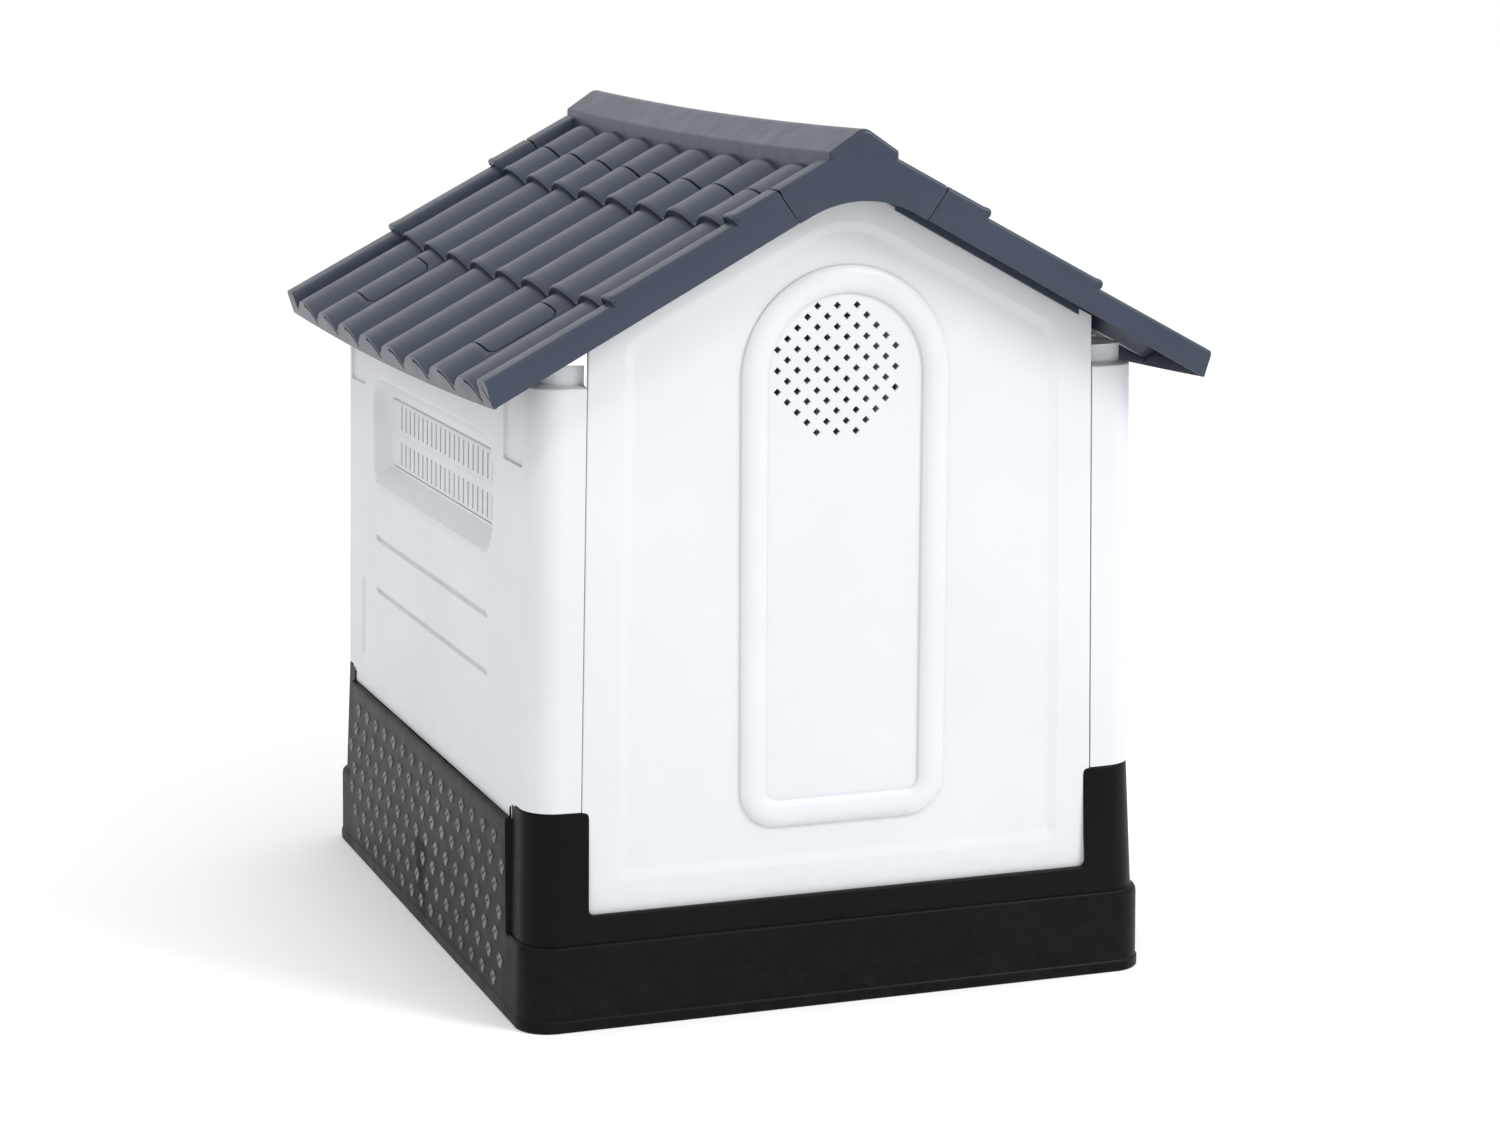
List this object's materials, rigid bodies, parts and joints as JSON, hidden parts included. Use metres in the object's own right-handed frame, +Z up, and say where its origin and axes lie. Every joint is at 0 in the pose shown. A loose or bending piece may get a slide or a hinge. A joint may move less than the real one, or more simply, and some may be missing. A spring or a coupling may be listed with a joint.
{
  "type": "plastic dog kennel",
  "caption": "Flat-pack plastic kennel: black base tray, white walls with vents, lift-off grey tiled roof with ridge cap and press latches.",
  "frame": {"origin": "centre of the footprint at ground level", "axes": "+Z up, the doorway faces -Y, +X is the right side seen from the front"},
  "size_m": [0.57, 0.648, 0.662],
  "materials": {
    "white_plastic": "smooth satin gloss",
    "slate_plastic": "fine-grained satin",
    "black_plastic": "satin"
  },
  "bodies": {
    "kennel": {"base_tray": "black_plastic", "right_wall": "white_plastic", "left_wall": "white_plastic", "rear_wall": "white_plastic", "front_wall": "white_plastic", "right_window_grille": "white_plastic", "left_window_grille": "white_plastic"},
    "roof": {"right_roof_panel": "slate_plastic", "left_roof_panel": "slate_plastic"},
    "ridge": {"ridge_cap": "slate_plastic"},
    "right_rear_latch": {"right_rear_latch": "slate_plastic"},
    "right_front_latch": {"right_front_latch": "slate_plastic"},
    "left_rear_latch": {"left_rear_latch": "slate_plastic"},
    "left_front_latch": {"left_front_latch": "slate_plastic"}
  },
  "joints": [
    {"name": "roof_lift", "type": "slide", "parent": "kennel", "child": "roof", "axis": [0, 0, 1], "range_m": [0, 0.2]},
    {"name": "ridge_cap_lift", "type": "slide", "parent": "roof", "child": "ridge", "axis": [0, 0, 1], "range_m": [0, 0.12]},
    {"name": "right_rear_latch_press", "type": "slide", "parent": "roof", "child": "right_rear_latch", "axis": [-0.4679, 0, -0.8838], "range_m": [0, 0.003], "stiffness_N_per_m": 400, "springref_m": -0.002},
    {"name": "right_front_latch_press", "type": "slide", "parent": "roof", "child": "right_front_latch", "axis": [-0.4679, 0, -0.8838], "range_m": [0, 0.003], "stiffness_N_per_m": 400, "springref_m": -0.002},
    {"name": "left_rear_latch_press", "type": "slide", "parent": "roof", "child": "left_rear_latch", "axis": [0.4679, 0, -0.8838], "range_m": [0, 0.003], "stiffness_N_per_m": 400, "springref_m": -0.002},
    {"name": "left_front_latch_press", "type": "slide", "parent": "roof", "child": "left_front_latch", "axis": [0.4679, 0, -0.8838], "range_m": [0, 0.003], "stiffness_N_per_m": 400, "springref_m": -0.002}
  ]
}
